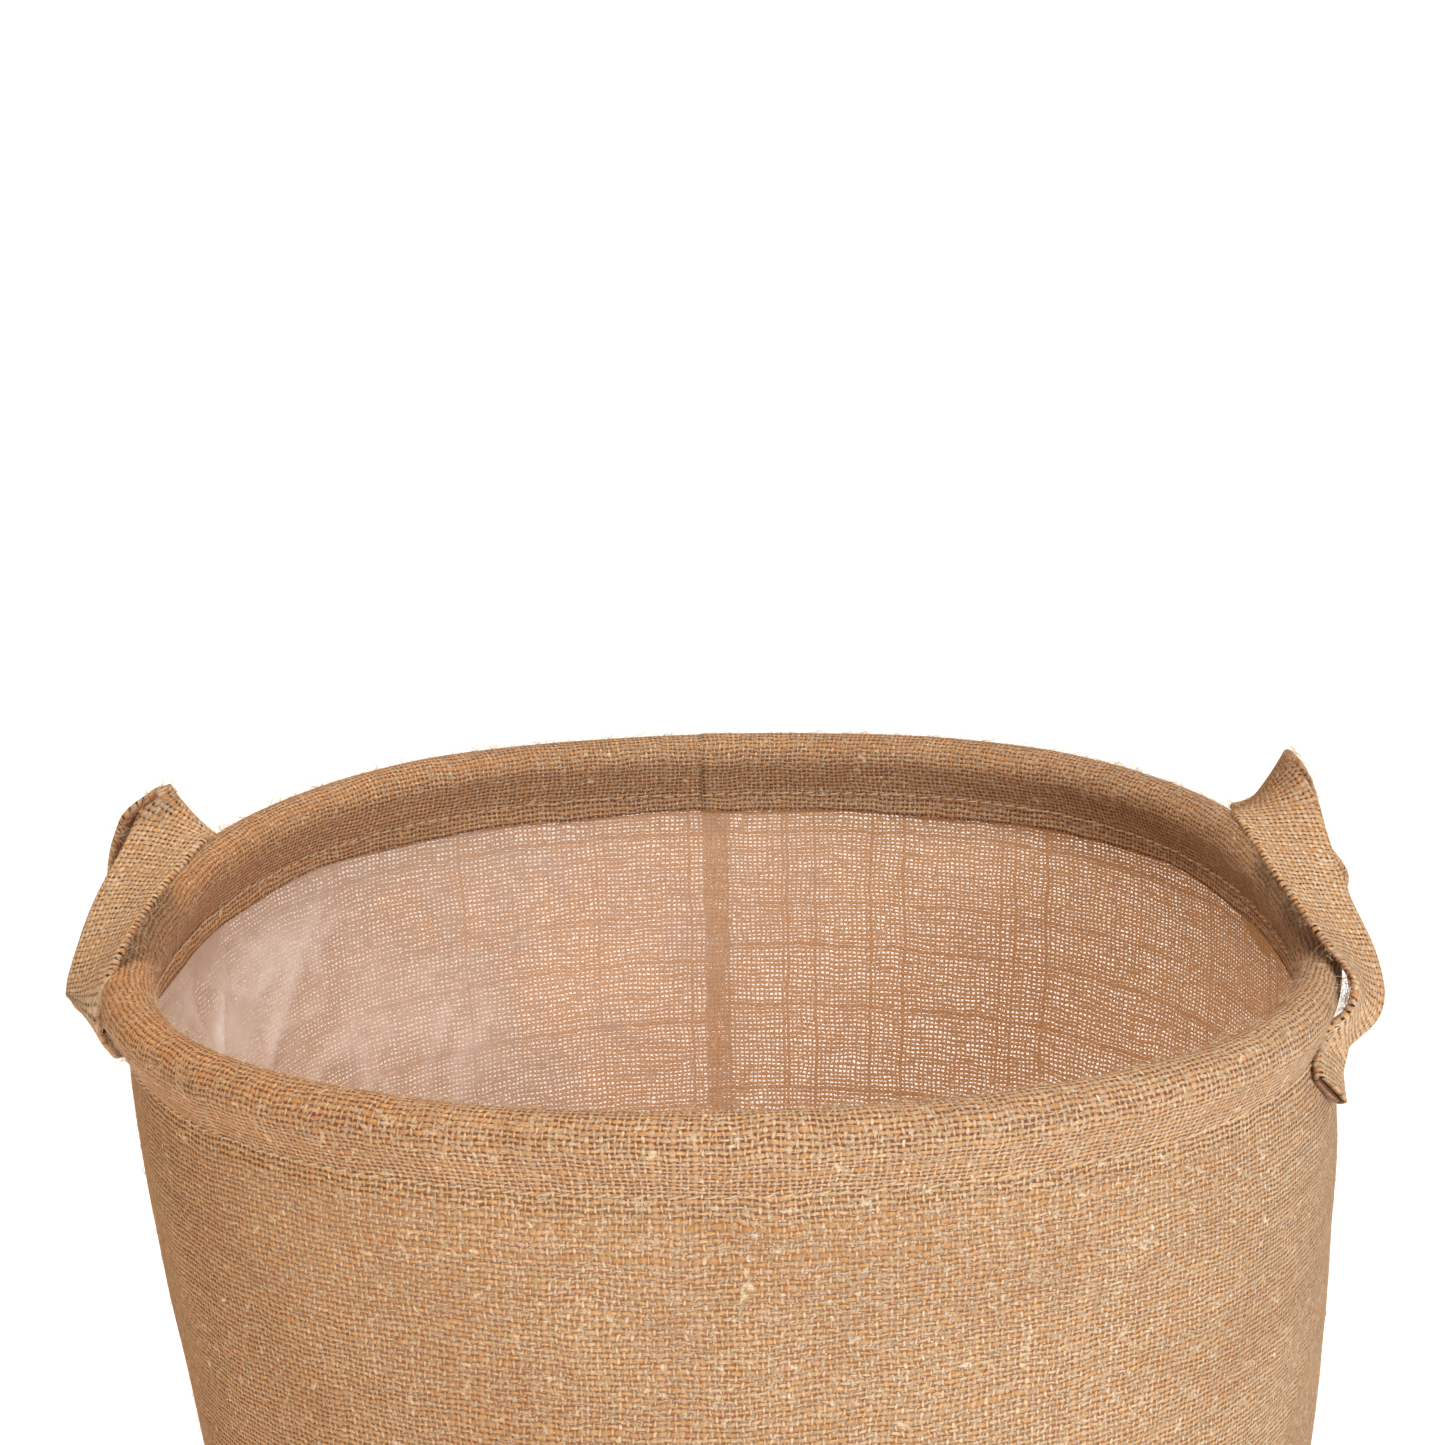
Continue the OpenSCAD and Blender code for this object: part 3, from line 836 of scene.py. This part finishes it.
def jute(name, warp_pitch, weft_pitch, warp_half=0.18, weft_half=0.31):
    """Plain woven jute.

    U of the weave map runs across the thin warp threads and V across the fat weft threads, in metres.
    """
    s = Shader(name)
    uv = s.nodes.new("ShaderNodeUVMap")
    uv.uv_map = "weave"
    x, y, _ = s.split(uv.outputs[0])
    flat = s.vector(x, y, 0.0)
    drift_x, drift_y, _ = s.split(s.noise(flat, 45.0, 3.0, 0.6, colour=True))
    jog_x, jog_y, _ = s.split(s.noise(flat, 230.0, 2.0, 0.6, colour=True))
    u = s.add(s.mul(x, 1 / warp_pitch), s.ramp(drift_x, 0.2, 0.8, 999.3, 1000.7))
    v = s.add(s.mul(y, 1 / weft_pitch), s.ramp(drift_y, 0.2, 0.8, 999.2, 1000.8))
    u = s.add(u, s.ramp(jog_x, 0.3, 0.7, -0.14, 0.14))
    v = s.add(v, s.ramp(jog_y, 0.3, 0.7, -0.12, 0.12))
    column, row = s.math("FLOOR", u), s.math("FLOOR", v)
    crossing = s.random(s.add(s.mul(column, 0.377), s.mul(row, 11.13)))
    a, b = s.sub(s.sub(u, column), 0.5), s.sub(s.sub(v, row), 0.5)
    odd = s.math("FLOORED_MODULO", s.add(column, row), 2.0)
    over = s.sub(1.0, s.mul(odd, 2.0))

    # Every thread has its own thickness, and thins and swells along its run
    warp_own, weft_own = s.random(column), s.random(s.add(row, 0.41))
    warp_slub = s.noise(s.vector(s.mul(column, 3.17), s.mul(v, 0.11), 1.5), 1.0, 2.0, 0.65)
    weft_slub = s.noise(s.vector(s.mul(u, 0.09), s.mul(row, 2.73), 8.5), 1.0, 2.0, 0.65)
    warp_width = s.ramp(warp_slub, 0.25, 0.75, warp_half - 0.06, warp_half + 0.07)
    warp_width = s.add(warp_width, s.ramp(warp_own, 0.90, 0.95, 0, 0.16))
    warp_width = s.add(warp_width, s.ramp(crossing, 0.0, 1.0, -0.03, 0.03))
    weft_width = s.ramp(weft_slub, 0.25, 0.75, weft_half - 0.09, weft_half + 0.09)
    weft_width = s.add(weft_width, s.ramp(weft_own, 0.90, 0.95, 0, 0.14))
    weft_width = s.add(weft_width, s.ramp(crossing, 0.0, 1.0, 0.05, -0.07))

    fine_a = s.noise(s.vector(s.mul(u, 6.0), s.mul(v, 2.2), 2.0), 1.0, 2.0, 0.6)
    fine_b = s.noise(s.vector(s.mul(u, 2.0), s.mul(v, 6.0), 4.0), 1.0, 2.0, 0.6)
    rough_a = s.add(a, s.ramp(fine_a, 0.3, 0.7, -0.05, 0.05))
    rough_b = s.add(b, s.ramp(fine_b, 0.3, 0.7, -0.07, 0.07))

    def round_thread(offset, width):
        share = s.math("DIVIDE", offset, width)
        return s.math("SQRT", s.math("MAXIMUM", s.sub(1.0, s.mul(share, share)), 0.0))

    warp_round, weft_round = round_thread(rough_a, warp_width), round_thread(rough_b, weft_width)
    warp_in = s.math("GREATER_THAN", warp_round, 0.001)
    weft_in = s.math("GREATER_THAN", weft_round, 0.001)
    rise_warp = s.mul(over, s.math("COSINE", s.mul(b, math.pi)))
    rise_weft = s.mul(s.mul(over, -1.0), s.math("COSINE", s.mul(a, math.pi)))
    warp_z = s.add(s.add(s.mul(rise_warp, 0.75), s.mul(warp_round, 0.45)), s.mul(s.sub(warp_in, 1.0), 4.0))
    weft_z = s.add(s.add(s.mul(rise_weft, 0.5), s.mul(weft_round, 0.75)), s.mul(s.sub(weft_in, 1.0), 4.0))
    warp_on_top = s.math("GREATER_THAN", warp_z, weft_z)
    height = s.math("MAXIMUM", s.math("MAXIMUM", warp_z, weft_z), -0.9)
    cloth = s.math("MAXIMUM", warp_in, weft_in)

    # Loose fibres lie over the threads and across the holes between them
    bent_x = s.add(x, s.ramp(fine_a, 0.3, 0.7, -0.6 * MM, 0.6 * MM))
    bent_y = s.add(y, s.ramp(fine_b, 0.3, 0.7, -0.6 * MM, 0.6 * MM))
    bent = s.vector(bent_x, bent_y)
    fuzz = None
    for scale, width in ((230.0, 0.022), (370.0, 0.032)):
        line = s.math("LESS_THAN", s.cracks(bent, scale), width)
        line = s.mul(line, s.math("GREATER_THAN", s.noise(flat, 1.1 * scale, 1.0), 0.50))
        fuzz = line if fuzz is None else s.math("MAXIMUM", fuzz, line)

    # Strands of fibre lie along each thread, twisted a little
    twist_u = s.blend(warp_on_top, s.add(s.mul(u, 0.8), s.mul(v, 1.6)), s.mul(u, 7.0))
    twist_v = s.blend(warp_on_top, s.mul(v, 7.0), s.add(s.mul(v, 0.8), s.mul(u, 1.6)))
    fibre = s.noise(s.vector(twist_u, twist_v, 3.0), 1.0, 3.0, 0.7)
    patch = s.noise(flat, 22.0, 3.0, 0.6)

    thread = s.mix(warp_on_top, WEFT, WARP)
    tint = s.blend(warp_on_top, weft_own, warp_own)
    thread = s.mix(s.ramp(tint, 0.0, 1.0, 0.35, 0.0), thread, DEEP)
    thread = s.mix(s.ramp(crossing, 0.55, 1.0, 0.0, 0.5), thread, PALE)
    thread = s.mix(s.ramp(fibre, 0.50, 0.66, 0.0, 0.85), thread, PALE)
    thread = s.mix(s.ramp(fibre, 0.47, 0.32, 0.0, 0.65), thread, DEEP)
    thread = s.mix(s.ramp(patch, 0.42, 0.68, 0.0, 0.30), thread, DEEP)
    thread = s.mix(s.ramp(tint, 0.90, 0.95, 0.0, 0.45), thread, DEEP)
    colour = s.mix(s.ramp(height, -0.25, 0.85, 0.0, 1.0), SHADOW, thread)
    # Painted shade: between the threads the colour is a dark brown, the shaded inside seen through the holes.
    colour = s.mix(cloth, HOLE_SHADE, colour)
    colour = s.mix(s.mul(fuzz, 0.75), colour, PALE)
    # Painted shade: on the wall's shaded left side the colour is multiplied deeper and more golden.
    side_shaded = s.mix(1.0, colour, SIDE_SHADE_TINT, blend="MULTIPLY")
    colour = s.mix(s.mul(s.painted("painted_side_shade"), SIDE_SHADE_TINT_SHARE), colour, side_shaded)
    # Painted shade on the straps: darker on their faces towards the bag, inside the tube and at the crest.
    darker = s.mix(1.0, colour, UNDER_SHADE, blend="MULTIPLY")
    colour = s.mix(s.painted("under"), colour, darker)
    s.set(Base_Color=colour, Roughness=s.ramp(fibre, 0.2, 0.8, 0.95, 0.7))
    s.bsdf.inputs["Specular IOR Level"].default_value = 0.15
    s.bsdf.inputs["Sheen Weight"].default_value = 0.1
    s.bsdf.inputs["Sheen Roughness"].default_value = 0.5
    covered = s.math("MAXIMUM", cloth, fuzz)
    # On the roll and its casing the holes stay opaque and show that painted shade; elsewhere they are
    # see-through.
    s.set(Alpha=s.math("MAXIMUM", covered, s.math("GREATER_THAN", s.painted("roll"), 0.5)))
    s.bump(s.add(s.add(height, s.mul(fibre, 0.5)), s.mul(fuzz, 0.5)), 0.45 * MM)
    return s.material


def film_material():
    s = Shader("lining_film")
    uv = s.nodes.new("ShaderNodeUVMap")
    uv.uv_map = "weave"
    cloud = s.noise(uv.outputs[0], 26.0, 4.0, 0.6)
    crinkle = s.noise(uv.outputs[0], 110.0, 2.0, 0.5)
    density = s.mul(s.painted("milk"), s.ramp(cloud, 0.3, 0.7, 0.6, 1.1))
    s.set(Base_Color=s.mix(s.ramp(density, 0.2, 1.2), FILM_CLEAR, FILM_MILKY))
    # Painted light: where the film is clear it glows warm, standing for light let in through the wall's
    # cloth.
    s.set(Emission_Color=s.mix(s.ramp(density, 0.22, 0.5), FILM_PAINTED_GLOW, BLACK))
    s.bsdf.inputs["Emission Strength"].default_value = 1.0
    s.set(Alpha=s.ramp(density, 0.0, 1.3, 0.02, 0.85), Roughness=s.ramp(crinkle, 0.3, 0.7, 0.22, 0.42))
    s.bsdf.inputs["Specular IOR Level"].default_value = 0.5
    s.bump(s.add(crinkle, s.mul(cloud, 2.0)), 0.25 * MM)
    return s.material


def plain(name, colour, roughness, grain=900.0, depth=0.05):
    s = Shader(name)
    where = s.nodes.new("ShaderNodeTexCoord").outputs["Object"]
    speck = s.noise(where, grain, 3.0)
    darker = tuple(0.7 * c for c in colour[:3]) + (1,)
    s.set(Base_Color=s.mix(s.ramp(speck, 0.3, 0.7), colour, darker), Roughness=roughness)
    s.bump(speck, depth * MM)
    return s.material


WARP = (0.84, 0.59, 0.38, 1)
WEFT = (0.70, 0.38, 0.14, 1)
DEEP = (0.42, 0.17, 0.045, 1)
PALE = (0.92, 0.73, 0.51, 1)
SHADOW = (0.30, 0.12, 0.05, 1)
# The next three colours are painted shade: the wall's shaded left side, the shaded inside seen through the
# holes of the weave, and the straps' shaded faces.
SIDE_SHADE_TINT = (1.10, 0.81, 0.46, 1)
HOLE_SHADE = (0.20, 0.09, 0.055, 1)
UNDER_SHADE = (0.46, 0.34, 0.27, 1)
BLACK = (0, 0, 0, 1)
FILM_CLEAR = (0.84, 0.56, 0.38, 1)
FILM_MILKY = (0.94, 0.83, 0.76, 1)
# Painted light: the warm glow of the film where it is clear.
FILM_PAINTED_GLOW = (0.30, 0.15, 0.05, 1)
# How much of that painted shade the wall's left side takes.
SIDE_SHADE_TINT_SHARE = 0.75
wall_jute = jute("jute_wall", WARP_PITCH, WEFT_PITCH)
strap_jute = jute("jute_strap", 1.75 * MM, 1.7 * MM, 0.27, 0.40)
film = film_material()
base_jute = jute("jute_base", 1.8 * MM, 1.7 * MM)
tube_plastic = plain("black_tube", (0.03, 0.028, 0.027, 1), 0.45)
joiner_plastic = plain("white_plug", (0.75, 0.74, 0.71, 1), 0.4)
cotton = plain("sewing_thread", (0.74, 0.52, 0.32, 1), 0.9, 3000.0, 0.1)
fibre_hair = plain("loose_fibre", (0.80, 0.60, 0.40, 1), 0.7, 2000.0, 0.02)

# ---- Pieces ----


def piece(ob, material, slot, *nodes, body="bag"):
    ob.data.materials.append(material)
    if body:
        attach(ob, body)
    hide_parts(*nodes)
    return ob


hoop_ends = BACK + 0.003, BACK + 2 * math.pi - 0.003
hoop = piece(make_hoop("rim_hoop", 5 * MM, *hoop_ends, 16, 241), tube_plastic, "rim_tube", "rim_tube")
joiner_half = 22 * MM / RING_R
joiner = make_hoop("hoop_joiner", 3.4 * MM, BACK - joiner_half, BACK + joiner_half, 12, 16)
piece(joiner, joiner_plastic, "tube_joiner", "tube_joiner")

wall, wall_run = make_wall()
piece(wall, wall_jute, "jute_wall", "wall")
lining = piece(make_film(), film, "film", "wall_film")
base = make_base("base_cloth", WEAVE_T + 0.15 * MM, 0.2 * MM, 14 * MM, CLOTH_T)
piece(base, base_jute, "jute_wall", "base")
film_inset, film_z = WEAVE_T + CLOTH_T + 0.3 * MM, 0.2 * MM + CLOTH_T + 0.1 * MM
base_lining = make_base("base_lining", film_inset, film_z, 13.8 * MM, FILM_T)
paint(base_lining, "milk", np.full(len(base_lining.data.vertices), 0.3))
piece(base_lining, film, "film", "base_film")

hem = piece(make_hem_stitches(), cotton, "thread", "hem_stitching")
seam = piece(make_seam_stitches(), cotton, "thread", "seam_stitching")
base_seam = piece(make_base_stitches(), cotton, "thread", "base_stitching")

piece(make_rim_fibres(), fibre_hair, "jute_wall")
piece(make_wall_fibres(), fibre_hair, "jute_wall")

for side, flip in (("right", False), ("left", True)):
    strap, line, w, n, at = make_strap(f"{side}_strap", LEFT_STOPS if flip else RIGHT_STOPS, flip)
    hair = strap_fibres(f"{side}_strap_fibres", line, w, n, at)
    for ob in (strap, hair):
        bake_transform(ob)
    nodes = (f"handle_{side}", f"{side}_front_end", f"{side}_back_end")
    piece(strap, strap_jute, "jute_strap", *nodes, body=None)
    piece(hair, fibre_hair, "jute_strap", body=None)
    end_rows = make_end_stitches(f"{side}_end_stitches", line, w, n, at)
    piece(end_rows, cotton, "thread", f"{side}_end_stitching")
